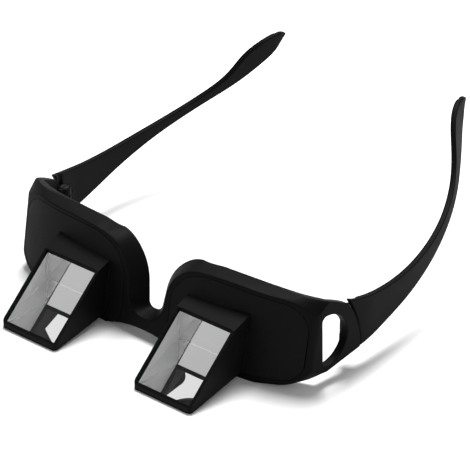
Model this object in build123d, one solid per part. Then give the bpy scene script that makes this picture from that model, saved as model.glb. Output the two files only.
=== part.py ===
from build123d import *
import os
from math import asin, cos, pi, radians, sin, tan

# Prism bed glasses, lying as they are laid on a table: brow edge down, nose notch up.
# Millimetres. +X is the wearer's right, -Y the way the wearer looks, +Z up from the table.
# The pieces are drawn with the front of the housings at Y = 0 and centred at the end.

# Front: plan curve, tilt and rim
front_setback = 27.0
front_tilt = 10.6
front_radius = 400.0
flat_half_width = 46.0
wrap_radius = 75.0
wrap_half_width = 68.5
corner_radius = 4.0
rim_depth = 7.0

# Outer edge of the rims at the face, and the same corners at the back of the flared blank
rim_toe = (40.0, -1.5)
rim_foot = (71.0, 5.0)
rim_shoulder = (64.5, 33.2)
rim_crown = (42.0, 35.2)
rim_radii = (30.0, 13.0, 16.0, 100.0)
flare_overshoot = 1.4
flare_foot = (76.0, 5.0)
flare_shoulder = (97.0, 49.0)
flare_crown = (42.0, 49.5)
flare_radii = (30.0, 10.0, 13.0, 100.0)

# Bridge and nose notch, wide at the face and narrow behind
arch_half_width = 18.0
arch_lift = 3.5
notch_foot = (9.3, 8.0)
notch_mouth = (10.0, 35.6)
notch_radii = (8.8, 17.0)
notch_length = 8.0
notch_back_foot = (2.0, 11.0)
notch_back_mouth = (6.0, 38.8)
notch_back_radii = (1.8, 21.0)

# Side arms behind the front, with a D-shaped window each
arm_thickness = 3.2
arm_flare = 8.0
arm_shoulder_setback = 43.0
arm_shoulder_height = 35.8
arm_waist_setback = 50.0
arm_waist_height = 32.8
arm_end_top = 29.4
arm_foot_setback = 36.0
arm_heel_setback = 45.0
arm_heel_height = 4.2
arm_end_bottom = 7.9
arm_edge_blend = 9.0
seam_bottom_setback = 64.6
seam_rake = 6.0
seam_bulge_lead = 1.9
seam_mid_height = 20.5
window_radius = 10.5
window_setback = 47.4
window_height = 17.6
window_front_offset = 2.1
window_corner_radius = 2.0

# Lens panels
panel_thickness = 2.2
panel_border = 1.3
panel_corner_gap = 0.3
panel_crown_drop = 0.6
panel_toe_rise = 3.2
panel_foot_rise = 0.6
panel_nose_radius = 16.0
panel_shoulder_radius = 10.0
panel_foot_radius = 8.5
panel_inner_foot_radius = 5.0
panel_ledge = 1.5

# Prisms: right-angled, with a 30 degree tip
pupil_distance = 65.0
prism_tip_angle = 30.0
prism_window_slope = 38.6
prism_window_length = 31.3
prism_width = 24.2
prism_tip_setback = 1.0
prism_tip_height = 2.0
prism_tip_land = 0.3

# Prism housings on the panels
housing_wall = 1.4
prism_side_gap = 0.1
prism_recess = 1.0
housing_floor_slope = 5.8
strip_setback = 25.2
strip_step = 0.4
strip_slope = 15.5
housing_corner_radius = 1.8

# Bezels behind the prisms, in passages that widen toward the eyes
passage_rise = 25.0
passage_flare = 10.0
bezel_wall = 0.7
bezel_lip_thickness = 0.8
bezel_lip_side = 1.7
bezel_lip_top = 1.4
bezel_lip_bottom = 0.4
bezel_flange = 1.2
bezel_flange_thickness = 1.2

# Nose pads and the posts that carry them
pad_length = 14.0
pad_width = 7.0
pad_thickness = 2.4
pad_edge_bevel = 0.7
pad_side = 11.2
pad_setback = 10.8
pad_height = 21.5
pad_turn = 38.0
pad_lean = 14.0
post_radius = 1.3
post_rooting = 2.0

# Hinges
hinge_inset = 4.9
hinge_lead = 2.2
barrel_radius = 2.5
barrel_bottom = 10.4
barrel_top = 24.6
temple_knuckle_height = 7.0
knuckle_gap = 0.15
hinge_relief = 0.35
hinge_web = 2.0
hinge_web_length = 3.3
screw_radius = 0.8
screw_clearance = 0.05
screw_head_radius = 1.6
screw_head_height = 0.9
screw_slot_width = 0.45
screw_slot_depth = 0.4
nut_radius = 1.7
nut_height = 1.4
seam_gap = 0.3

# Temples: plan curve, the rear of it drawn at a height and leant over the ear
temple_thickness = 2.4
temple_lead_height = 0.8
ease_radius = 70.0
tail_run_in = 2.7
tail_lean = 32.0
tail_height = 30.0
bow_lead = 1.0
bow_radius = 185.0
bow_length = 73.0
bow_straight = 24.0
tip_turn_radius = 60.0

# Shares of the temple's reach and of its tip's height, along its top and bottom edges
temple_reach = 109.6
tip_height = 57.0
temple_top_shares = ((0.20, 0.459), (0.45, 0.493), (0.68, 0.619), (0.79, 0.770), (0.835, 0.905), (0.885, 0.985),
                     (0.955, 1.02))
temple_low_shares = ((0.28, 0.263), (0.50, 0.404), (0.71, 0.558), (0.83, 0.680), (0.93, 0.838), (0.985, 0.94))

# How far rough blanks and cuts run past what they shape
overrun = 30.0
blank_lead = 1.0


def arc_point(center, radius, angle):
    """Point of a plan arc that bulges forward, at an angle from its foremost point."""
    return (center[0] + radius * sin(angle), center[1] - radius * cos(angle))


# Angles and centres of the plan curve's arcs
flat_angle = asin(flat_half_width / front_radius)
flat_center = (0, front_radius)
wrap_start = arc_point(flat_center, front_radius, flat_angle)
wrap_center = arc_point(wrap_start, -wrap_radius, flat_angle)
wrap_angle = asin((wrap_half_width - wrap_center[0]) / wrap_radius)
corner_start = arc_point(wrap_center, wrap_radius, wrap_angle)
corner_center = arc_point(corner_start, -corner_radius, wrap_angle)
arm_angle = radians(90 - arm_flare)
arm_start = arc_point(corner_center, corner_radius, arm_angle)

front_place = Pos(0, front_setback, 0) * Rot(-front_tilt, 0, 0)
# Places that follow the seam between side arm and temple
arm_end_setback = seam_bottom_setback - seam_rake
seam_mid_setback = seam_bottom_setback - seam_bulge_lead
hinge_setback = seam_bottom_setback - hinge_lead

# The temple's plan curve: it leaves the arm's face and eases to a straight run
flare_angle = radians(arm_flare)
arm_face = (front_place * Pos(arm_start[0], arm_start[1], seam_mid_height)).position
joint_half = arm_face.X + (seam_bottom_setback - arm_face.Y) * tan(flare_angle)
ease_center = (joint_half - ease_radius * cos(flare_angle),
               seam_bottom_setback + ease_radius * sin(flare_angle))
temple_half = ease_center[0] + ease_radius
hinge_half_width = joint_half - hinge_inset
tail_setback = ease_center[1] + tail_run_in

back_view = Plane(origin=(0, 0, 0), x_dir=(-1, 0, 0), z_dir=(0, 1, 0))
side_view = Plane(origin=(0, 0, 0), x_dir=(0, 1, 0), z_dir=(1, 0, 0))


def plan_arc(center, radius, start, end):
    """Plan arc between two angles, and its mirror image."""
    middle = (start + end) / 2
    arc = ThreePointArc(*[arc_point(center, radius, angle) for angle in (start, middle, end)])
    return [arc, arc.mirror(Plane.YZ)]


def front_curve(depth):
    """Edges of the front's plan curve at a depth behind its face, out to the corners."""
    edges = [ThreePointArc(*[arc_point(flat_center, front_radius - depth, angle)
                             for angle in (-flat_angle, 0, flat_angle)])]
    edges += plan_arc(wrap_center, wrap_radius - depth, flat_angle, wrap_angle)
    tip = arc_point(wrap_center, wrap_radius - depth, wrap_angle)
    far = (tip[0] + overrun * cos(wrap_angle), tip[1] + overrun * sin(wrap_angle))
    return edges, tip, far


def face_of(edges):
    """Flat face inside a closed loop of edges."""
    return Sketch() + make_face(edges)


def before_surface(depth):
    """Space in front of the front's face set back by a depth."""
    edges, tip, far = front_curve(depth)
    near = (far[0], -2 * overrun)
    for side in (1, -1):
        edges += [Line((side * tip[0], tip[1]), (side * far[0], far[1]))]
        edges += [Line((side * far[0], far[1]), (side * near[0], near[1]))]
    edges += [Line((near[0], near[1]), (-near[0], near[1]))]
    solid = extrude(face_of(edges), 4 * overrun)
    return front_place * Pos(0, 0, -overrun) * solid


def skin(start, thickness):
    """Curved sheet that follows the front's face."""
    return before_surface(start + thickness) - before_surface(start)


def plan_band():
    """Rim and side arms in plan, before their outlines are cut."""
    edges, tip, far = front_curve(0)
    edges += plan_arc(corner_center, corner_radius, wrap_angle, arm_angle)
    reach = 2 * overrun
    arm_end = (arm_start[0] + reach * cos(arm_angle), arm_start[1] + reach * sin(arm_angle))
    for side in (1, -1):
        edges += [Line((side * arm_start[0], arm_start[1]), (side * arm_end[0], arm_end[1]))]
    edges += [Line(arm_end, (-arm_end[0], arm_end[1]))]
    outside = face_of(edges)
    inset = arm_thickness / cos(radians(arm_flare))
    slope = tan(radians(arm_flare))
    front_half = arm_start[0] - inset - (arm_start[1] + overrun) * slope
    back_half = arm_end[0] - inset + overrun * slope
    between = Polyline((front_half, -overrun), (back_half, arm_end[1] + overrun),
                       (-back_half, arm_end[1] + overrun), (-front_half, -overrun), close=True)
    edges, tip, far = front_curve(rim_depth)
    for side in (1, -1):
        edges += [Line((side * tip[0], tip[1]), (side * far[0], far[1]))]
        edges += [Line((side * far[0], far[1]), (side * far[0], 4 * overrun))]
    edges += [Line((far[0], 4 * overrun), (-far[0], 4 * overrun))]
    band = outside - (face_of(edges) & face_of([between]))
    return front_place * Pos(0, 0, -overrun) * extrude(band, 4 * overrun)


def rounded_outline(points, radii):
    """Closed outline with its own radius at each corner."""
    return face_of([FilletPolyline(*points, radius=radii, close=True)])


def through_front(outline, length=2 * overrun):
    """Outline in front view, carried through the front along its own tilt."""
    place = front_place * Pos(0, -blank_lead, 0)
    return place * extrude(back_view * outline, length)


def between_outlines(near, far, length):
    """Blank between an outline in front view and another a length behind the face."""
    start = front_place * Pos(0, -blank_lead, 0) * (back_view * near)
    end = front_place * Pos(0, length, 0) * (back_view * far)
    return loft([start.face(), end.face()], ruled=True)


def across(outline, start, width):
    """Outline in side view, as wide as given from a place on X."""
    return Pos(start, 0, 0) * extrude(side_view * outline, width)


def both_sides(solid):
    """The right-hand solid with its mirror image."""
    return solid + mirror(solid, about=Plane.YZ)


def mirrored_outline(right, radii):
    """Closed outline from its right-hand corners, bottom to top, and their radii."""
    left = [(-x, z) for x, z in reversed(right)]
    return rounded_outline(right + left, radii + radii[::-1])


def notch_outline(foot, mouth, radii):
    """Nose notch in front view, open at the top with rounded shoulders."""
    far = 2 * overrun
    return mirrored_outline([foot, mouth, (far, mouth[1]), (far, far)], [*radii, 0, 0])


def panel_outline():
    """Right lens panel in front view, inside the edges of its rim."""
    nose = notch_mouth[0] + panel_border
    outer = wrap_half_width - panel_corner_gap
    crown = rim_crown[1] - panel_crown_drop
    points = [(nose, panel_border), (rim_toe[0], rim_toe[1] + panel_toe_rise),
              (outer, rim_foot[1] + panel_foot_rise), (outer, crown), (nose, crown)]
    radii = [panel_inner_foot_radius, panel_nose_radius, panel_foot_radius, panel_shoulder_radius,
             panel_nose_radius]
    return mirror(rounded_outline(points, radii), about=Plane.YZ)


def seam():
    """Curved end of the side arm, in side view."""
    return ThreePointArc((arm_end_setback, arm_end_top), (seam_mid_setback, seam_mid_height),
                         (seam_bottom_setback, arm_end_bottom))


def side_outline():
    """Front and side arm in side view, flat underneath."""
    top = FilletPolyline((arm_end_setback, arm_end_top), (arm_waist_setback, arm_waist_height),
                         (arm_shoulder_setback, arm_shoulder_height), (-overrun, arm_shoulder_height),
                         radius=arm_edge_blend)
    bottom = FilletPolyline((-overrun, 0), (arm_foot_setback, 0), (arm_heel_setback, arm_heel_height),
                            (seam_bottom_setback, arm_end_bottom), radius=arm_edge_blend)
    lead = Line((-overrun, arm_shoulder_height), (-overrun, 0))
    return face_of([top, lead, bottom, seam()])


def window_outline():
    """D-shaped side window, upright in front and round behind."""
    front = window_setback - window_front_offset
    round_part = Pos(window_setback, window_height) * Circle(window_radius)
    kept = Pos(front, window_height) * Rectangle(
        2 * window_radius, 2 * window_radius, align=(Align.MIN, Align.CENTER))
    cut = round_part & kept
    corners = cut.vertices().group_by(Axis.X)[0]
    return fillet(corners, window_corner_radius)


def hinge_place(height):
    """Place on the right hinge's axis at a height."""
    return Pos(hinge_half_width, hinge_setback, height)


def barrel(radius, bottom, top):
    """Upright cylinder on the hinge's axis."""
    return hinge_place(bottom) * Cylinder(radius, top - bottom, align=(Align.CENTER, Align.CENTER, Align.MIN))


def hinge_block(left, right, front, back, bottom, top):
    """Upright block by the hinge, its sides measured from the axis."""
    block = Box(right - left, back - front, top - bottom, align=(Align.MIN, Align.MIN, Align.MIN))
    return hinge_place(bottom) * Pos(left, front, 0) * block


barrel_middle = (barrel_bottom + barrel_top) / 2
knuckle_bottom = barrel_middle - temple_knuckle_height / 2
knuckle_top = barrel_middle + temple_knuckle_height / 2


def pad_post():
    """Post behind the rim that carries the right nose pad."""
    length = pad_setback - rim_depth + post_rooting
    return front_place * Pos(pad_side, pad_setback, pad_height) * Rot(90, 0, 0) * Cylinder(
        post_radius, length, align=(Align.CENTER, Align.CENTER, Align.MIN))


def front_frame():
    """Rims, bridge, side arms and fixed hinge knuckles in one moulding."""
    rim = mirrored_outline([rim_toe, rim_foot, rim_shoulder, rim_crown], list(rim_radii))
    flare = mirrored_outline([rim_toe, flare_foot, flare_shoulder, flare_crown], list(flare_radii))
    notch = notch_outline(notch_foot, notch_mouth, notch_radii)
    notch_back = notch_outline(notch_back_foot, notch_back_mouth, notch_back_radii)
    frame = plan_band() & between_outlines(rim, flare, seam_bottom_setback - front_setback + flare_overshoot)
    frame = frame - between_outlines(notch, notch_back, notch_length)
    arch_radius = (arch_half_width**2 + arch_lift**2) / (2 * arch_lift)
    arch = Pos(0, 0, arch_lift - arch_radius) * Rot(90, 0, 0) * Cylinder(arch_radius, 4 * overrun)
    frame = frame & across(side_outline(), -4 * overrun, 8 * overrun)
    frame = frame - arch
    window = across(window_outline(), hinge_half_width - overrun / 4, overrun)
    opening = through_front(offset(panel_outline(), -panel_ledge))
    knuckle_low = barrel(barrel_radius, barrel_bottom, knuckle_bottom - knuckle_gap)
    knuckle_high = barrel(barrel_radius, knuckle_top + knuckle_gap, barrel_top)
    web_low = hinge_block(-hinge_web / 2, barrel_radius, -hinge_web_length, 0, barrel_bottom,
                          knuckle_bottom - knuckle_gap)
    web_high = hinge_block(-hinge_web / 2, hinge_web, -hinge_web_length, 0, knuckle_top + knuckle_gap,
                           barrel_top)
    relief = barrel(barrel_radius + hinge_relief, knuckle_bottom - knuckle_gap, knuckle_top + knuckle_gap)
    head_top = barrel_top + overrun
    holes = barrel(screw_radius, barrel_bottom - overrun, head_top)
    holes += barrel(screw_head_radius, barrel_top - screw_head_height, head_top)
    holes += barrel(nut_radius, barrel_bottom - overrun, barrel_bottom + nut_height)
    frame = frame - both_sides(window) - both_sides(opening) - both_sides(relief)
    frame = frame + both_sides(knuckle_low + web_low) + both_sides(knuckle_high + web_high)
    frame = frame - both_sides(holes) - both_sides(panel_blank())
    return frame + both_sides(pad_post())


def panel_blank():
    """Right lens panel before its housing and eye window."""
    return skin(0, panel_thickness) & through_front(panel_outline())


prism_center = pupil_distance / 2
window_angle = radians(prism_window_slope)
floor_angle = radians(prism_window_slope - prism_tip_angle)
prism_floor_length = prism_window_length * cos(radians(prism_tip_angle))
prism_tip = (prism_tip_setback, prism_tip_height)
prism_top = (prism_tip[0] + prism_window_length * cos(window_angle),
             prism_tip[1] + prism_window_length * sin(window_angle))
prism_heel = (prism_tip[0] + prism_floor_length * cos(floor_angle),
              prism_tip[1] + prism_floor_length * sin(floor_angle))
housing_width = prism_width + 2 * prism_side_gap + 2 * housing_wall


def centered_across(outline, width):
    """Outline in side view, centred on the right eye."""
    return across(outline, prism_center - width / 2, width)


def prism():
    """Right prism, its sharp tip ground to a narrow land."""
    land = prism_tip_land
    low = (prism_tip[0] + land * cos(floor_angle), prism_tip[1] + land * sin(floor_angle))
    high = (prism_tip[0] + land * cos(window_angle), prism_tip[1] + land * sin(window_angle))
    profile = face_of([Polyline(low, prism_heel, prism_top, high, close=True)])
    return centered_across(profile, prism_width)


def wall_line(setback):
    """Height of the housing's wall tops, just above the prism's window face."""
    rise = prism_recess / cos(window_angle)
    return prism_tip[1] + (setback - prism_tip[0]) * tan(window_angle) + rise


def housing():
    """Wedge-shaped housing of the right prism, open at its slanted window."""
    back = front_setback + overrun / 2
    strip_top = wall_line(strip_setback) + strip_step
    strip_back = strip_top + (back - strip_setback) * tan(radians(strip_slope))
    floor_back = back * tan(radians(housing_floor_slope))
    profile = Polyline((0, 0), (0, wall_line(0)), (strip_setback, wall_line(strip_setback)),
                       (strip_setback, strip_top), (back, strip_back), (back, floor_back), close=True)
    block = centered_across(face_of([profile]), housing_width)
    upright = block.edges().filter_by(Axis.Z).group_by(Axis.Y)[0]
    return fillet(upright, housing_corner_radius)


def prism_pocket():
    """Room for the prism, the view in through the window and the way out to the eye."""
    back = front_setback + overrun
    far_tip = (prism_tip[0], prism_tip[1] + 2 * overrun)
    far_top = (prism_top[0], prism_top[1] + 2 * overrun)
    seat = face_of([Polyline(prism_tip, prism_heel, prism_top, far_top, far_tip, close=True)])
    return centered_across(seat, prism_width + 2 * prism_side_gap)


def eye_passage(inset):
    """Passage from the prism's eye face back through the panel, or its inside at an inset."""
    back = front_setback + overrun
    low = prism_heel[1] + inset
    high = prism_top[1] - inset
    rise = (back - prism_top[0]) * tan(radians(passage_rise))
    profile = Polyline((prism_heel[0], low), (back, low), (back, high + rise), (prism_top[0], high), close=True)
    half = prism_width / 2 + prism_side_gap - inset
    spread = (back - prism_top[0]) * tan(radians(passage_flare))
    plan = Polyline((half, prism_top[0]), (half + spread, back), (-half - spread, back), (-half, prism_top[0]),
                    close=True)
    walls = Pos(prism_center, 0, 0) * extrude(face_of([plan]), 2 * overrun)
    return centered_across(face_of([profile]), 2 * overrun) & walls


def lens_panel():
    """Right lens panel with its prism housing."""
    panel = panel_blank() + (housing() & before_surface(panel_thickness))
    return panel - prism_pocket() - eye_passage(0)


def lip_window():
    """Opening in the bezel's lip, measured along the prism's eye face."""
    face_length = prism_window_length * sin(radians(prism_tip_angle))
    low_share = bezel_lip_bottom / face_length
    high_share = 1 - bezel_lip_top / face_length
    edge = [(prism_heel[0] + (prism_top[0] - prism_heel[0]) * share,
             prism_heel[1] + (prism_top[1] - prism_heel[1]) * share) for share in (low_share, high_share)]
    ahead = [(y - blank_lead, z) for y, z in edge]
    behind = [(y + 2 * bezel_lip_thickness, z) for y, z in edge]
    outline = face_of([Polyline(ahead[0], behind[0], behind[1], ahead[1], close=True)])
    return centered_across(outline, prism_width - 2 * bezel_lip_side)


def eye_bezel():
    """Funnel pressed in behind the right prism: lip at the glass, flange on the panel's back."""
    behind = before_surface(panel_thickness + bezel_flange_thickness)
    funnel = eye_passage(0) & behind
    flange = eye_passage(-bezel_flange) & skin(panel_thickness, bezel_flange_thickness)
    inside = Pos(0, bezel_lip_thickness, 0) * eye_passage(bezel_wall)
    return funnel + flange - inside - lip_window()


def nose_pad():
    """Soft right nose pad on its post."""
    pad = extrude(SlotOverall(pad_length, pad_width), pad_thickness / 2, both=True)
    pad = chamfer(pad.edges().group_by(Axis.Z)[-1], pad_edge_bevel)
    turned = Rot(0, pad_lean, 0) * Rot(0, 0, -pad_turn) * Rot(0, -90, 0) * pad
    return front_place * Pos(pad_side, pad_setback, pad_height) * turned - pad_post()


def turn(center, radius, start, end):
    """Arc about a centre, its angles measured from +X toward +Y."""
    angles = (start, (start + end) / 2, end)
    points = [(center[0] + radius * cos(angle), center[1] + radius * sin(angle)) for angle in angles]
    return ThreePointArc(*points)


def strip_face(path):
    """Plan strip between a path and the same path set inward by the temple's thickness."""
    outer = path(0)
    inner = path(temple_thickness)
    return face_of(outer + inner + [Line(outer[0] @ 0, inner[0] @ 0), Line(outer[-1] @ 1, inner[-1] @ 1)])


def lead_path(depth):
    """Front of the right temple in plan: on from the arm's flare, then straight back."""
    ease = turn(ease_center, ease_radius - depth, -flare_angle, 0)
    before = Line(ease @ 0 - Vector(sin(flare_angle), cos(flare_angle)) * overrun, ease @ 0)
    return [before, ease, Line(ease @ 1, (temple_half - depth, tail_setback))]


def tail_path(depth):
    """Rear of the right temple in plan: straight, bowed inward, and turned back at the tip."""
    bow_start = tail_setback + bow_lead
    bow_angle = asin(bow_length / bow_radius)
    bow = turn((temple_half - bow_radius, bow_start), bow_radius - depth, 0, bow_angle)
    along = Vector(-sin(bow_angle), cos(bow_angle))
    outward = Vector(cos(bow_angle), sin(bow_angle))
    run = Line(bow @ 1, bow @ 1 + along * bow_straight)
    tip_center = run @ 1 + outward * (tip_turn_radius + depth)
    tip = turn((tip_center.X, tip_center.Y), tip_turn_radius + depth, pi + bow_angle, pi)
    before = Line((temple_half - depth, bow_start - 2 * overrun), bow @ 0)
    return [before, bow, run, tip, Line(tip @ 1, tip @ 1 + Vector(0, overrun))]


def temple_blank():
    """Right temple's bent strip, its rear leaning forward as it rises."""
    lean = radians(tail_lean)
    lead = extrude(strip_face(lead_path), 3 * overrun)
    low_tail = Pos(0, tail_height * tan(lean), 0) * strip_face(tail_path)
    tail = extrude(low_tail, 3 * overrun / cos(lean), dir=(0, -sin(lean), cos(lean)))
    behind = Pos(0, tail_setback, 0) * Box(
        8 * overrun, 8 * overrun, 8 * overrun, align=(Align.CENTER, Align.MIN, Align.CENTER))
    return lead + (tail & behind)


def temple_outline():
    """Right temple in side view: deep at the seam, slim at the ear, paddle turned up."""
    def place(shares):
        return [(hinge_setback + temple_reach * along, tip_height * up) for along, up in shares]

    top_points = [(arm_end_setback + seam_gap, arm_end_top + temple_lead_height)] + place(temple_top_shares)
    low_points = [(seam_bottom_setback + seam_gap, arm_end_bottom)] + place(temple_low_shares)
    end = ThreePointArc(top_points[-1], (hinge_setback + temple_reach, tip_height), low_points[-1])
    middle = (seam_mid_setback + seam_gap, seam_mid_height)
    return face_of([Spline(*top_points), Spline(*low_points), end,
                    ThreePointArc(top_points[0], middle, low_points[0])])


def temple():
    """Right temple with the middle knuckle of its hinge."""
    plate = temple_blank() & across(temple_outline(), 0, 4 * overrun)
    plate = plate - barrel(barrel_radius + hinge_relief, 0, overrun * 2)
    knuckle = barrel(barrel_radius, knuckle_bottom, knuckle_top)
    web = hinge_block(-hinge_web / 4, hinge_web * 0.75, 0, 2 * barrel_radius, knuckle_bottom, knuckle_top)
    heel = hinge_block(-hinge_web / 4, barrel_radius + hinge_web * 0.75, barrel_radius + hinge_relief,
                       2 * barrel_radius, knuckle_bottom, knuckle_top)
    bore = barrel(screw_radius + screw_clearance, 0, overrun * 2)
    return plate + (knuckle + web + heel) - bore


def hinge_screw():
    """Slotted screw through the three knuckles of the right hinge."""
    shank = barrel(screw_radius, barrel_bottom, barrel_top - screw_head_height)
    head = barrel(screw_head_radius, barrel_top - screw_head_height, barrel_top)
    slot = hinge_place(barrel_top) * Box(screw_slot_width, 4 * screw_head_radius, 2 * screw_slot_depth)
    return shank + head - slot


def hinge_nut():
    """Round nut pressed into the bottom knuckle of the right hinge."""
    return barrel(nut_radius, barrel_bottom, barrel_bottom + nut_height) - barrel(
        screw_radius, 0, overrun)


def both_hands(name, solid):
    """Names for the right-hand piece and its mirror image."""
    return {"right_" + name: solid, "left_" + name: mirror(solid, about=Plane.YZ)}


pieces = {"front_frame": front_frame()}
pieces.update(both_hands("lens_panel", lens_panel()))
pieces.update(both_hands("prism", prism()))
pieces.update(both_hands("eye_bezel", eye_bezel()))
pieces.update(both_hands("nose_pad", nose_pad()))
pieces.update(both_hands("temple", temple()))
pieces.update(both_hands("hinge_screw", hinge_screw()))
pieces.update(both_hands("hinge_nut", hinge_nut()))

# The origin is the middle of the underside of the box round all the pieces
box = Compound(children=[Compound(children=solid.solids()) for solid in pieces.values()]).bounding_box()
to_origin = Pos(0, -box.center().Y, -box.min.Z)
os.makedirs("parts", exist_ok=True)
for name, solid in pieces.items():
    export_step(to_origin * solid, f"parts/{name}.step")
print("moved by", round(to_origin.position.Y, 3), "size", box.size)
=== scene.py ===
"""Prism bed glasses: the visual model, its studio and its camera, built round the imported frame."""

import logging
import math
from dataclasses import dataclass
from enum import Enum

import bpy
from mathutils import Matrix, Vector


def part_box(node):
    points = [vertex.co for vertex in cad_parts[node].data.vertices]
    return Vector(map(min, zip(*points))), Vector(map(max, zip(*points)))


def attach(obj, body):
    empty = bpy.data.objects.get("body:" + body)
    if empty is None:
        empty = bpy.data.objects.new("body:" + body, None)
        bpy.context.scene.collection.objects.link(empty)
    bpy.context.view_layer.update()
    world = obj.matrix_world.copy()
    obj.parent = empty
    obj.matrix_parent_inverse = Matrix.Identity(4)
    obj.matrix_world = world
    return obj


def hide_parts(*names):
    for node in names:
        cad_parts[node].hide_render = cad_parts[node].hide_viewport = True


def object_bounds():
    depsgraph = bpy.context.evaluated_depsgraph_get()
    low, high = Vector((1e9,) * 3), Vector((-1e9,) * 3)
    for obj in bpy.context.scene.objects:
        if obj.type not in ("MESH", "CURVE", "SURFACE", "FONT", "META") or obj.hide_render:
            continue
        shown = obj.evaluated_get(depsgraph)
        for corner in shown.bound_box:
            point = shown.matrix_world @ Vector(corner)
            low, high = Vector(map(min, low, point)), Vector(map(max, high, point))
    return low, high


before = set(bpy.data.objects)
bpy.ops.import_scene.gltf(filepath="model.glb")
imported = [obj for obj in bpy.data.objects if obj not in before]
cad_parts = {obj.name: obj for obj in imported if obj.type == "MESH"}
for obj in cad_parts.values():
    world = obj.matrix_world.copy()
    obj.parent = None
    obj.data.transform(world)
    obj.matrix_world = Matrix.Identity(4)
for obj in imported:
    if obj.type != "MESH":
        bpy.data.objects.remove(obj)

MM = 0.001
# Play in picking corners by their place
HAIR = 0.01 * MM
CAD_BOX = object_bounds()
log = logging.getLogger("prism_bed_glasses")


class Side(Enum):
    """Wearer's side of a paired piece, with the sign of its X."""

    RIGHT = 1
    LEFT = -1

    @property
    def word(self) -> str:
        """Word that starts the names of the pieces on this side."""
        return self.name.lower()


class Axis(Enum):
    """Axis that a piece is cut square to, with its index."""

    X = 0
    Y = 1


@dataclass(frozen=True)
class SoftSpot:
    """Place on both sides where an outline is eased by a smooth rise or fall.

    Attributes:
        name: Name of the place.
        middle: X, Y and Z of its middle on the right side, in metres.
        reach: Half its size along X, Y and Z, in metres.
        rise: Height gained at its middle, in metres.
    """

    name: str
    middle: tuple
    reach: tuple
    rise: float

    def share(self, corner: Vector) -> float:
        """Share of the rise that a corner takes.

        Args:
            corner: Where the corner is.

        Returns:
            From 0 outside the spot to 1 at its middle.
        """
        share = 1.0
        for value, middle, reach in zip((abs(corner.x), corner.y, corner.z), self.middle, self.reach):
            share *= 0.5 + 0.5 * math.cos(math.pi * min(1.0, abs(value - middle) / reach))
        return share


NOSE_SHOULDER = SoftSpot(
    name="nose_shoulder",
    middle=(21.5 * MM, -50.0 * MM, 37.0 * MM),
    reach=(8.0 * MM, 40.0 * MM, 7.0 * MM),
    rise=-0.75 * MM,
)
CROWN_END = SoftSpot(
    name="crown_end",
    middle=(72.0 * MM, -36.5 * MM, 33.5 * MM),
    reach=(14.0 * MM, 9.0 * MM, 9.0 * MM),
    rise=0.8 * MM,
)
ARM_END = SoftSpot(
    name="arm_end",
    middle=(72.0 * MM, -24.0 * MM, 29.5 * MM),
    reach=(14.0 * MM, 8.0 * MM, 6.0 * MM),
    rise=-1.0 * MM,
)


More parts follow.
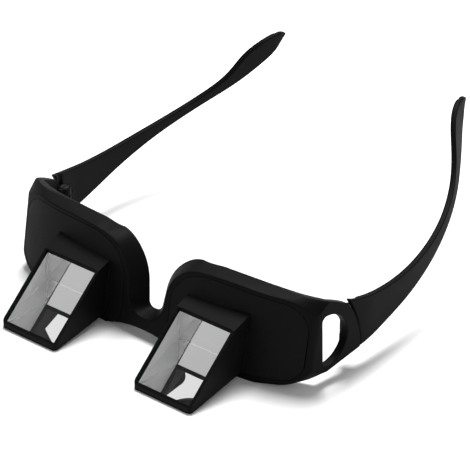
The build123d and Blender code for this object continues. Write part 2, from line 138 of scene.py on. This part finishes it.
class Workbench:
    """Operators that every sub-assembly uses to make and finish its pieces."""

    @staticmethod
    def rest() -> None:
        """Leaves object mode with nothing selected."""
        if bpy.context.object is not None and bpy.context.object.mode != "OBJECT":
            bpy.ops.object.mode_set(mode="OBJECT")
        bpy.ops.object.select_all(action="DESELECT")

    @staticmethod
    def take(piece: bpy.types.Object) -> None:
        """Makes a piece the only selected and active object.

        Args:
            piece: The object to work on.
        """
        Workbench.rest()
        piece.select_set(True)
        bpy.context.view_layer.objects.active = piece

    @staticmethod
    def cast(node: str, name: str, merge: float = 0.002 * MM, flat: float = 0.6) -> bpy.types.Object:
        """Copies a CAD node's mesh into a new piece with merged, simplified faces.

        Args:
            node: CAD node that gives the form.
            name: Name of the new piece.
            merge: Distance under which corners become one, in metres.
            flat: Angle under which faces count as one flat face, in degrees.

        Returns:
            The new piece, not yet riding on a body.
        """
        piece = bpy.data.objects.new(name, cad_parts[node].data.copy())
        bpy.context.scene.collection.objects.link(piece)
        Workbench.take(piece)
        bpy.ops.object.mode_set(mode="EDIT")
        bpy.ops.mesh.select_all(action="SELECT")
        bpy.ops.mesh.remove_doubles(threshold=merge)
        bpy.ops.mesh.dissolve_limited(angle_limit=math.radians(flat))
        bpy.ops.object.mode_set(mode="OBJECT")
        return piece

    @staticmethod
    def ease_edges(piece: bpy.types.Object, width: float, segments: int = 2, sharp: float = 32.0,
                   clamp: bool = False) -> None:
        """Rounds a piece's sharp edges.

        Args:
            piece: The piece to finish.
            width: Width of the rounding in metres.
            segments: Faces across the rounding.
            sharp: Least angle of an edge that is rounded, in degrees.
            clamp: Whether the width shrinks to what the smallest face allows.
        """
        Workbench.take(piece)
        bevel = piece.modifiers.new("eased_edges", "BEVEL")
        bevel.width = width
        bevel.segments = segments
        bevel.limit_method = "ANGLE"
        bevel.angle_limit = math.radians(sharp)
        bevel.use_clamp_overlap = clamp
        bpy.ops.object.modifier_apply(modifier=bevel.name)

    @staticmethod
    def slice_across(piece: bpy.types.Object, axis: Axis, places: tuple) -> None:
        """Cuts more edges across a piece, so that its outline can curve there.

        Args:
            piece: The piece to cut.
            axis: Axis that the cuts are square to.
            places: Where they cross the axis, in metres.
        """
        Workbench.take(piece)
        bpy.ops.object.mode_set(mode="EDIT")
        for place in places:
            spot = [0.0, 0.0, 0.0]
            spot[axis.value] = place
            normal = [0.0, 0.0, 0.0]
            normal[axis.value] = 1.0
            bpy.ops.mesh.select_all(action="SELECT")
            bpy.ops.mesh.bisect(plane_co=spot, plane_no=normal)
        bpy.ops.object.mode_set(mode="OBJECT")

    @staticmethod
    def lift(piece: bpy.types.Object, spot: SoftSpot) -> None:
        """Raises or lowers a piece's outline at a soft spot.

        Args:
            piece: The piece to change.
            spot: Where and how much.
        """
        Workbench.take(piece)
        group = piece.vertex_groups.new(name=spot.name)
        for corner in piece.data.vertices:
            group.add([corner.index], spot.share(corner.co), "REPLACE")
        shift = piece.modifiers.new(spot.name, "DISPLACE")
        shift.direction = "Z"
        shift.mid_level = 0.0
        shift.strength = spot.rise
        shift.vertex_group = group.name
        bpy.ops.object.modifier_apply(modifier=shift.name)

    @staticmethod
    def pick_slab(piece: bpy.types.Object, ahead: float, rear: float) -> list:
        """Selects the corners of a piece between two places along Y.

        Args:
            piece: The piece to select on.
            ahead: Lesser Y of the slab, in metres.
            rear: Greater Y of the slab, in metres.

        Returns:
            The middle of the slab's box.
        """
        Workbench.take(piece)
        bpy.ops.object.mode_set(mode="EDIT")
        bpy.ops.mesh.select_mode(type="VERT")
        bpy.ops.mesh.select_all(action="DESELECT")
        bpy.ops.object.mode_set(mode="OBJECT")
        slab = [corner for corner in piece.data.vertices if ahead + HAIR < corner.co.y <= rear + HAIR]
        for corner in slab:
            corner.select = True
        across = [[corner.co[axis] for corner in slab] for axis in range(3)]
        return [(min(values) + max(values)) / 2 for values in across]

    @staticmethod
    def even_out(piece: bpy.types.Object, end: float, length: float, passes: int,
                 step: float = 0.5) -> None:
        """Evens out a piece's surface towards its rear end.

        Args:
            piece: The piece to change.
            end: Y of its rear end, in metres.
            length: Length over which the evening sets in, in metres.
            passes: Times that the surface is evened out.
            step: Share of the way to its neighbours' middle that a corner moves in a pass.
        """
        group = piece.vertex_groups.new(name="rear_tip")
        for corner in piece.data.vertices:
            share = (corner.co.y - end) / length + 1.0
            group.add([corner.index], max(0.0, min(1.0, share)), "REPLACE")
        soft = piece.modifiers.new("rear_tip", "SMOOTH")
        soft.factor = step
        soft.iterations = passes
        soft.vertex_group = group.name
        bpy.ops.object.modifier_apply(modifier=soft.name)

    @staticmethod
    def shade(piece: bpy.types.Object, sharp: float = 32.0) -> None:
        """Smooths a piece's shading between its sharp edges.

        Args:
            piece: The piece to shade.
            sharp: Least angle of an edge that stays sharp, in degrees.
        """
        Workbench.take(piece)
        bpy.ops.object.shade_smooth_by_angle(angle=math.radians(sharp))
        weighted = piece.modifiers.new("even_shading", "WEIGHTED_NORMAL")
        weighted.keep_sharp = True
        bpy.ops.object.modifier_apply(modifier=weighted.name)

    @staticmethod
    def dress(piece: bpy.types.Object, material: bpy.types.Material) -> None:
        """Gives a piece one material all over.

        Args:
            piece: The piece to dress.
            material: Its material.
        """
        if len(piece.material_slots) == 0:
            piece.data.materials.append(material)
        for slot in piece.material_slots:
            slot.material = material


class Graph:
    """Node graph of one material, with the Principled shader as its start."""

    def __init__(self, name: str) -> None:
        """Starts a material with a Principled shader and its output.

        Args:
            name: Name of the material.
        """
        self.material = bpy.data.materials.new(name)
        self.material.use_nodes = True
        self.tree = self.material.node_tree
        self.shader = self.tree.nodes["Principled BSDF"]
        self.output = self.tree.nodes["Material Output"]
        self.place = self.add("ShaderNodeTexCoord").outputs["Object"]

    def add(self, kind: str, **values: object) -> bpy.types.Node:
        """Adds a node and sets its attributes.

        Args:
            kind: Blender's identifier of the node.
            **values: Attributes to set on it.

        Returns:
            The new node.
        """
        node = self.tree.nodes.new(kind)
        for key, value in values.items():
            setattr(node, key, value)
        return node

    def link(self, source: bpy.types.NodeSocket, target: bpy.types.NodeSocket) -> None:
        """Links an output socket to an input socket."""
        self.tree.links.new(source, target)

    def noise(self, grain: float, detail: float = 2.0) -> bpy.types.NodeSocket:
        """Noise over the piece.

        Args:
            grain: Size of its grains in metres.
            detail: Octaves of finer noise.

        Returns:
            The noise's value, from 0 to 1.
        """
        node = self.add("ShaderNodeTexNoise")
        node.inputs["Scale"].default_value = 1 / grain
        node.inputs["Detail"].default_value = detail
        self.link(self.place, node.inputs["Vector"])
        return node.outputs["Fac"]

    def between(self, value: bpy.types.NodeSocket, low: float, high: float) -> bpy.types.NodeSocket:
        """Maps a value from 0 to 1 onto a range.

        Args:
            value: The value to map.
            low: Result at 0.
            high: Result at 1.

        Returns:
            The mapped value.
        """
        node = self.add("ShaderNodeMapRange")
        node.inputs["To Min"].default_value = low
        node.inputs["To Max"].default_value = high
        self.link(value, node.inputs["Value"])
        return node.outputs["Result"]

    def calculate(self, operation: str, first: object, second: object = 0.0) -> bpy.types.NodeSocket:
        """Arithmetic on sockets or numbers.

        Args:
            operation: Blender's name of the operation.
            first: Socket or number.
            second: Socket or number.

        Returns:
            The result.
        """
        node = self.add("ShaderNodeMath", operation=operation)
        for slot, value in zip(node.inputs, (first, second)):
            if isinstance(value, bpy.types.NodeSocket):
                self.link(value, slot)
            else:
                slot.default_value = value
        return node.outputs["Value"]

    def blend(self, share: bpy.types.NodeSocket, first: tuple, second: tuple) -> bpy.types.NodeSocket:
        """Mixes two colours by a share.

        Args:
            share: Share of the second colour.
            first: Colour at 0.
            second: Colour at 1.

        Returns:
            The mixed colour.
        """
        node = self.add("ShaderNodeMix", data_type="RGBA")
        node.inputs["A"].default_value = (*first, 1.0)
        node.inputs["B"].default_value = (*second, 1.0)
        self.link(share, node.inputs["Factor"])
        return node.outputs["Result"]

    def layer(self, share: bpy.types.NodeSocket, first: bpy.types.NodeSocket,
              second: bpy.types.NodeSocket) -> bpy.types.NodeSocket:
        """Lays one finish over another.

        Args:
            share: Share of the second finish.
            first: Shader at 0.
            second: Shader at 1.

        Returns:
            The layered shader.
        """
        node = self.add("ShaderNodeMixShader")
        self.link(share, node.inputs["Fac"])
        self.link(first, node.inputs[1])
        self.link(second, node.inputs[2])
        return node.outputs["Shader"]

    def relief(self, height: bpy.types.NodeSocket, depth: float, strength: float) -> None:
        """Bumps the surface by a height.

        Args:
            height: Height from 0 to 1.
            depth: Height of the relief in metres.
            strength: Strength of the bump.
        """
        node = self.add("ShaderNodeBump")
        node.inputs["Strength"].default_value = strength
        node.inputs["Distance"].default_value = depth
        self.link(height, node.inputs["Height"])
        self.link(node.outputs["Normal"], self.shader.inputs["Normal"])


@dataclass(frozen=True)
class MouldedPlastic:
    """Black moulded plastic with a fine spark-eroded grain.

    Attributes:
        name: Name of the material.
        dark: Darker colour of its mottle.
        light: Lighter colour of its mottle.
        smooth: Least roughness.
        rough: Greatest roughness.
        gleam: Specular level of the surface.
        mottle: Size of the mottle in metres.
        grain: Size of the eroded grain in metres.
        grain_octaves: Octaves of finer grain.
        grain_depth: Depth of the grain in metres.
        grain_strength: Strength of the grain's relief.
    """

    name: str
    dark: tuple = (0.0022, 0.0022, 0.0023)
    light: tuple = (0.0040, 0.0040, 0.0042)
    smooth: float = 0.46
    rough: float = 0.60
    gleam: float = 0.045
    mottle: float = 9.0 * MM
    grain: float = 0.16 * MM
    grain_octaves: float = 3.0
    grain_depth: float = 0.02 * MM
    grain_strength: float = 0.35

    def material(self) -> bpy.types.Material:
        """Builds the material.

        Returns:
            The finished material.
        """
        graph = Graph(self.name)
        eroded = graph.noise(self.grain, self.grain_octaves)
        cloud = graph.noise(self.mottle)
        graph.link(graph.blend(cloud, self.dark, self.light), graph.shader.inputs["Base Color"])
        graph.link(graph.between(cloud, self.smooth, self.rough), graph.shader.inputs["Roughness"])
        graph.shader.inputs["Specular IOR Level"].default_value = self.gleam
        graph.relief(eroded, self.grain_depth, self.grain_strength)
        return graph.material


@dataclass(frozen=True)
class PadSilicone:
    """Soft matte silicone of the nose pads.

    Attributes:
        name: Name of the material.
        dark: Darker colour of its mottle.
        light: Lighter colour of its mottle.
        smooth: Least roughness.
        rough: Greatest roughness.
        gleam: Specular level of the surface.
        mottle: Size of the mottle in metres.
        relief_depth: Depth of the mottle's relief in metres.
        relief_strength: Strength of the mottle's relief.
    """

    name: str = "pad_silicone"
    dark: tuple = (0.008, 0.008, 0.008)
    light: tuple = (0.014, 0.014, 0.014)
    smooth: float = 0.62
    rough: float = 0.75
    gleam: float = 0.3
    mottle: float = 1.5 * MM
    relief_depth: float = 0.05 * MM
    relief_strength: float = 0.3

    def material(self) -> bpy.types.Material:
        """Builds the material.

        Returns:
            The finished material.
        """
        graph = Graph(self.name)
        cloud = graph.noise(self.mottle)
        graph.link(graph.blend(cloud, self.dark, self.light), graph.shader.inputs["Base Color"])
        graph.link(graph.between(cloud, self.smooth, self.rough), graph.shader.inputs["Roughness"])
        graph.shader.inputs["Specular IOR Level"].default_value = self.gleam
        graph.relief(cloud, self.relief_depth, self.relief_strength)
        return graph.material


@dataclass(frozen=True)
class TurnedMetal:
    """Turned metal of a screw or nut, with fine tool marks.

    Attributes:
        name: Name of the material.
        tint: Colour of the metal.
        smooth: Least roughness.
        roughening: What the tool marks add to the roughness.
        paling: Factor from the tint to the paler marks.
        marks: Size of the tool marks in metres.
        marks_octaves: Octaves of finer marks.
        marks_depth: Depth of the marks in metres.
        marks_strength: Strength of the marks' relief.
    """

    name: str
    tint: tuple
    smooth: float
    roughening: float = 0.15
    paling: float = 1.15
    marks: float = 0.12 * MM
    marks_octaves: float = 1.0
    marks_depth: float = 0.01 * MM
    marks_strength: float = 0.4

    def material(self) -> bpy.types.Material:
        """Builds the material.

        Returns:
            The finished material.
        """
        graph = Graph(self.name)
        tooling = graph.noise(self.marks, self.marks_octaves)
        pale = tuple(min(1.0, self.paling * value) for value in self.tint)
        roughness = graph.between(tooling, self.smooth, self.smooth + self.roughening)
        graph.link(graph.blend(tooling, self.tint, pale), graph.shader.inputs["Base Color"])
        graph.link(roughness, graph.shader.inputs["Roughness"])
        graph.shader.inputs["Metallic"].default_value = 1.0
        graph.relief(tooling, self.marks_depth, self.marks_strength)
        return graph.material


@dataclass(frozen=True)
class PrismGlass:
    """Optical glass with two polished faces, a silvered base and ground sides.

    Attributes:
        name: Name of the material.
        middle: X of the prism's middle in metres.
        half_width: Half its width in metres.
        heel: Y and Z of the edge between base and eye face, in metres.
        slope: Slope of its base in degrees.
        skin: Depth of the finish at a face, in metres.
        body: Colour of the clear glass.
        silvered: Colour of the silvered base.
        frosted: Colour of the ground sides.
        index: Index of refraction.
    """

    name: str
    middle: float
    half_width: float
    heel: tuple
    slope: float
    skin: float = 0.08 * MM
    body: tuple = (0.985, 0.995, 0.99)
    silvered: tuple = (0.92, 0.92, 0.92)
    frosted: tuple = (0.95, 0.95, 0.95)
    index: float = 1.5

    def on_side(self, graph: Graph, place: bpy.types.Node) -> bpy.types.NodeSocket:
        """Finds the ground side faces.

        Args:
            graph: The material's graph.
            place: Node that splits the place on the piece.

        Returns:
            1 on a side face, 0 elsewhere.
        """
        offset = graph.calculate("SUBTRACT", place.outputs["X"], self.middle)
        beyond = graph.calculate("ABSOLUTE", offset)
        return graph.calculate("GREATER_THAN", beyond, self.half_width - self.skin)

    def on_base(self, graph: Graph, place: bpy.types.Node) -> bpy.types.NodeSocket:
        """Finds the silvered base.

        Args:
            graph: The material's graph.
            place: Node that splits the place on the piece.

        Returns:
            1 on the base, 0 elsewhere.
        """
        tilt = math.radians(self.slope)
        along = graph.calculate("MULTIPLY", place.outputs["Y"], math.sin(tilt))
        down = graph.calculate("MULTIPLY", place.outputs["Z"], math.cos(tilt))
        depth = graph.calculate("SUBTRACT", along, down)
        base_depth = self.heel[0] * math.sin(tilt) - self.heel[1] * math.cos(tilt)
        return graph.calculate("GREATER_THAN", depth, base_depth - self.skin)

    def material(self) -> bpy.types.Material:
        """Builds the material.

        Returns:
            The finished material.
        """
        graph = Graph(self.name)
        glass = graph.shader
        glass.inputs["Base Color"].default_value = (*self.body, 1.0)
        glass.inputs["Roughness"].default_value = 0.0
        glass.inputs["IOR"].default_value = self.index
        glass.inputs["Transmission Weight"].default_value = 1.0
        place = graph.add("ShaderNodeSeparateXYZ")
        graph.link(graph.place, place.inputs["Vector"])
        silver = graph.add("ShaderNodeBsdfGlossy")
        silver.inputs["Color"].default_value = (*self.silvered, 1.0)
        silver.inputs["Roughness"].default_value = 0.0
        ground = graph.add("ShaderNodeBsdfDiffuse")
        ground.inputs["Color"].default_value = (*self.frosted, 1.0)
        coated = graph.layer(self.on_base(graph, place), glass.outputs["BSDF"], silver.outputs["BSDF"])
        finished = graph.layer(self.on_side(graph, place), coated, ground.outputs["BSDF"])
        graph.link(finished, graph.output.inputs["Surface"])
        return graph.material


@dataclass
class FrontFrame:
    """Rims, bridge and side arms in one moulding.

    Attributes:
        finish: Material of the front.
        edge: Width of the mould edges in metres.
        shoulder_cuts: X of the right side's cuts that let the nose shoulder curve, in metres.
        arm_cuts: Y of the cuts that let crown ends and arm ends curve, in metres.
    """

    finish: bpy.types.Material
    edge: float = 0.35 * MM
    shoulder_cuts: tuple = tuple((15.5 + 1.5 * step) * MM for step in range(10))
    arm_cuts: tuple = tuple((2 * step - 44) * MM for step in range(9))

    def build(self) -> list:
        """Builds and dresses the front.

        Returns:
            The one piece.
        """
        piece = Workbench.cast("front_frame", "front_moulding")
        Workbench.ease_edges(piece, self.edge)
        for side in Side:
            cuts = tuple(side.value * place for place in self.shoulder_cuts)
            Workbench.slice_across(piece, Axis.X, cuts)
        Workbench.slice_across(piece, Axis.Y, self.arm_cuts)
        for spot in (NOSE_SHOULDER, CROWN_END, ARM_END):
            Workbench.lift(piece, spot)
        Workbench.shade(piece)
        Workbench.dress(piece, self.finish)
        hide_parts("front_frame")
        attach(piece, "front")
        return [piece]


@dataclass
class LensUnit:
    """Lens panel with its prism housing, prism and eye bezel.

    Attributes:
        side: Wearer's side.
        panel_finish: Material of the panel.
        bezel_finish: Material of the bezel.
        panel_edge: Width of the mould edges in metres.
        prism_edge: Width of the prism's ground edges in metres.
        prism_shrink: Scale that keeps the prism a hair clear of its seat.
        prism_slope: Slope of the prism's silvered base, in degrees.
        heel_bias: How much the rearmost corner counts over the lowest in finding the prism's heel.
    """

    side: Side
    panel_finish: bpy.types.Material
    bezel_finish: bpy.types.Material
    panel_edge: float = 0.2 * MM
    prism_edge: float = 0.25 * MM
    prism_shrink: float = 0.9975
    prism_slope: float = 8.6
    heel_bias: float = 4.0

    def build_panel(self) -> bpy.types.Object:
        """Builds the panel with the housing.

        Returns:
            The panel.
        """
        node = f"{self.side.word}_lens_panel"
        piece = Workbench.cast(node, f"{node}_shell")
        Workbench.ease_edges(piece, self.panel_edge)
        Workbench.lift(piece, NOSE_SHOULDER)
        Workbench.shade(piece)
        Workbench.dress(piece, self.panel_finish)
        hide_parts(node)
        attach(piece, "front")
        return piece

    def build_prism(self) -> bpy.types.Object:
        """Builds the prism with ground edges, a hair clear of its seat.

        Returns:
            The prism.
        """
        node = f"{self.side.word}_prism"
        low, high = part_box(node)
        middle = (Vector(low) + Vector(high)) / 2
        piece = Workbench.cast(node, f"{node}_glass")
        bpy.ops.object.mode_set(mode="EDIT")
        bpy.ops.mesh.select_all(action="SELECT")
        bpy.ops.transform.resize(value=(self.prism_shrink,) * 3, center_override=tuple(middle))
        bpy.ops.object.mode_set(mode="OBJECT")
        Workbench.ease_edges(piece, self.prism_edge, segments=1, clamp=True)
        heel = max(piece.data.vertices, key=lambda corner: self.heel_bias * corner.co.y - corner.co.z).co
        half = (high[0] - low[0]) / 2 * self.prism_shrink
        glass = PrismGlass(f"{node}_glass", middle.x, half, (heel.y, heel.z), self.prism_slope)
        Workbench.dress(piece, glass.material())
        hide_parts(node)
        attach(piece, "front")
        return piece

    def build_bezel(self) -> bpy.types.Object:
        """Builds the bezel round the eye window.

        Returns:
            The bezel.
        """
        node = f"{self.side.word}_eye_bezel"
        piece = Workbench.cast(node, f"{node}_frame")
        Workbench.ease_edges(piece, self.panel_edge, clamp=True)
        Workbench.shade(piece)
        Workbench.dress(piece, self.bezel_finish)
        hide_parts(node)
        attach(piece, "front")
        return piece

    def build(self) -> list:
        """Builds the lens unit.

        Returns:
            Its three pieces.
        """
        return [self.build_panel(), self.build_prism(), self.build_bezel()]


@dataclass
class TempleArm:
    """Folding temple with its hinge knuckle and a narrow rounded tip.

    Attributes:
        side: Wearer's side.
        finish: Material of the temple.
        edge: Width of its rounded edges in metres.
        edge_faces: Faces across a rounded edge.
        tip_length: Length of the narrowed tip in metres.
        tip_slabs: Slabs that the tip is narrowed in.
        tip_least: Share of the section that is left at the very end.
        tip_sweep: How late along the tip it narrows; 1 is even.
    """

    side: Side
    finish: bpy.types.Material
    edge: float = 0.55 * MM
    edge_faces: int = 3
    tip_length: float = 6.5 * MM
    tip_slabs: int = 13
    tip_least: float = 0.25
    tip_sweep: float = 1.6

    def taper_tip(self, piece: bpy.types.Object) -> None:
        """Narrows the rear tip slab by slab to a rounded point.

        Args:
            piece: The temple to change.
        """
        end = max(corner.co.y for corner in piece.data.vertices)
        cuts = [end - self.tip_length * step / self.tip_slabs for step in range(self.tip_slabs + 1)]
        Workbench.slice_across(piece, Axis.Y, tuple(cuts[1:]))
        for step in range(self.tip_slabs):
            middle = Workbench.pick_slab(piece, cuts[step + 1], cuts[step])
            toward_end = 1.0 - (step + 0.5) / self.tip_slabs
            keep = 1.0 - (1.0 - self.tip_least) * toward_end ** self.tip_sweep
            bpy.ops.object.mode_set(mode="EDIT")
            bpy.ops.transform.resize(value=(keep, 1.0, keep), center_override=middle)
            bpy.ops.object.mode_set(mode="OBJECT")
        Workbench.even_out(piece, end, self.tip_length, self.tip_slabs)

    def build(self) -> list:
        """Builds and dresses the temple.

        Returns:
            The one piece.
        """
        node = f"{self.side.word}_temple"
        piece = Workbench.cast(node, f"{node}_arm")
        Workbench.ease_edges(piece, self.edge, self.edge_faces)
        self.taper_tip(piece)
        Workbench.shade(piece)
        Workbench.dress(piece, self.finish)
        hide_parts(node)
        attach(piece, node)
        return [piece]


@dataclass
class SmallParts:
    """Hinge screws, nuts and nose pads, which keep their CAD form.

    Attributes:
        silicone: Material of the nose pads.
        steel: Material of the screws.
        brass: Material of the nuts.
    """

    silicone: bpy.types.Material
    steel: bpy.types.Material
    brass: bpy.types.Material

    def build(self) -> list:
        """Dresses the small parts of both sides.

        Returns:
            The parts.
        """
        finishes = {"nose_pad": self.silicone, "hinge_screw": self.steel, "hinge_nut": self.brass}
        parts = []
        for side in Side:
            for kind, material in finishes.items():
                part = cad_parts[f"{side.word}_{kind}"]
                Workbench.dress(part, material)
                parts.append(part)
        return parts


@dataclass
class Studio:
    """Plain pale floor, soft light and the photograph's camera.

    Attributes:
        floor_size: Length of a side of the floor in metres.
        floor_white: Brightness of the floor's paper.
        floor_roughness: Roughness of the paper.
        sky_low: Strength of the sky at the horizon.
        sky_high: Strength of the sky overhead.
        key_light: Power of the key lamp in watts.
        key_place: Place of the key lamp in metres.
        key_size: Length of a side of the lamp in metres.
        camera_side: X of the camera in metres.
        camera_ahead: How far the camera stands ahead of the glasses' front, in metres.
        camera_height: Z of the camera in metres.
        azimuth: Turn of the view about the vertical, in degrees.
        elevation: Lift of the view, in degrees.
        focal_pixels: Focal length in pixels of the photograph.
        image_pixels: Width of the photograph in pixels.
        sensor: Width of the camera's sensor in millimetres.
        far_limit: Farthest distance that the camera sees, in metres.
    """

    floor_size: float = 6.0
    floor_white: float = 0.93
    floor_roughness: float = 0.9
    sky_low: float = 1.14
    sky_high: float = 0.05
    key_light: float = 25.0
    key_place: tuple = (-0.22, 0.42, 1.28)
    key_size: float = 0.50
    camera_side: float = 534.9 * MM
    camera_ahead: float = 584.7 * MM
    camera_height: float = 539.0 * MM
    azimuth: float = 38.686
    elevation: float = 31.304
    focal_pixels: float = 2600.0
    image_pixels: float = 470.0
    sensor: float = 36.0
    far_limit: float = 20.0

    def build_floor(self) -> None:
        """Lays the floor that the glasses lie on."""
        Workbench.rest()
        bpy.ops.mesh.primitive_plane_add(size=self.floor_size, location=(0, 0, 0))
        floor = bpy.context.object
        floor.name = "studio_floor"
        graph = Graph("floor_paper")
        graph.shader.inputs["Base Color"].default_value = (*[self.floor_white] * 3, 1.0)
        graph.shader.inputs["Roughness"].default_value = self.floor_roughness
        graph.shader.inputs["Specular IOR Level"].default_value = 0.0
        Workbench.dress(floor, graph.material)

    def build_light(self) -> None:
        """Sets the sky, brightest at the horizon, and the key lamp overhead."""
        world = bpy.data.worlds.new("soft_sky")
        bpy.context.scene.world = world
        world.use_nodes = True
        tree = world.node_tree
        tree.nodes["Background"].inputs["Color"].default_value = (1.0, 1.0, 1.0, 1.0)
        place = tree.nodes.new("ShaderNodeTexCoord")
        split = tree.nodes.new("ShaderNodeSeparateXYZ")
        ramp = tree.nodes.new("ShaderNodeMapRange")
        ramp.inputs["To Min"].default_value = self.sky_low
        ramp.inputs["To Max"].default_value = self.sky_high
        tree.links.new(place.outputs["Generated"], split.inputs["Vector"])
        tree.links.new(split.outputs["Z"], ramp.inputs["Value"])
        tree.links.new(ramp.outputs["Result"], tree.nodes["Background"].inputs["Strength"])
        Workbench.rest()
        bpy.ops.object.light_add(type="AREA", location=self.key_place)
        lamp = bpy.context.object
        lamp.name = "key_softbox"
        lamp.data.shape = "SQUARE"
        lamp.data.size = self.key_size
        lamp.data.energy = self.key_light
        lamp.rotation_euler = (-lamp.location).to_track_quat("-Z", "Y").to_euler()

    def build_camera(self) -> None:
        """Sets the camera where the photograph was taken from."""
        turn, lift = math.radians(self.azimuth), math.radians(self.elevation)
        back = Vector((math.sin(turn) * math.cos(lift), -math.cos(turn) * math.cos(lift), math.sin(lift)))
        data = bpy.data.cameras.new("photo_camera")
        camera = bpy.data.objects.new("photo_camera", data)
        bpy.context.scene.collection.objects.link(camera)
        data.sensor_width = self.sensor
        data.lens = self.focal_pixels / self.image_pixels * self.sensor
        data.clip_end = self.far_limit
        camera.location = (self.camera_side, CAD_BOX[0][1] - self.camera_ahead, self.camera_height)
        camera.rotation_euler = (-back).to_track_quat("-Z", "Y").to_euler()
        bpy.context.scene.camera = camera

    def build(self) -> None:
        """Builds the whole studio."""
        bpy.context.scene.view_settings.view_transform = "Standard"
        self.build_camera()
        self.build_floor()
        self.build_light()


def main() -> None:
    """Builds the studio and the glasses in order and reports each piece."""
    Studio().build()
    frame_black = MouldedPlastic("frame_black").material()
    panel_black = MouldedPlastic("panel_black", gleam=0.06).material()
    bezel_black = MouldedPlastic("bezel_black").material()
    temple_black = MouldedPlastic("temple_black").material()
    silicone = PadSilicone().material()
    blackened_steel = TurnedMetal("screw_steel", tint=(0.025, 0.025, 0.026), smooth=0.5).material()
    brass = TurnedMetal("nut_brass", tint=(0.72, 0.52, 0.24), smooth=0.28).material()
    assemblies = [FrontFrame(frame_black)]
    for side in Side:
        assemblies += [LensUnit(side, panel_black, bezel_black), TempleArm(side, temple_black)]
    assemblies.append(SmallParts(silicone, blackened_steel, brass))
    for assembly in assemblies:
        for piece in assembly.build():
            log.info("%s is in place", piece.name)


if __name__ == "__main__":
    logging.basicConfig(level=logging.INFO)
    main()
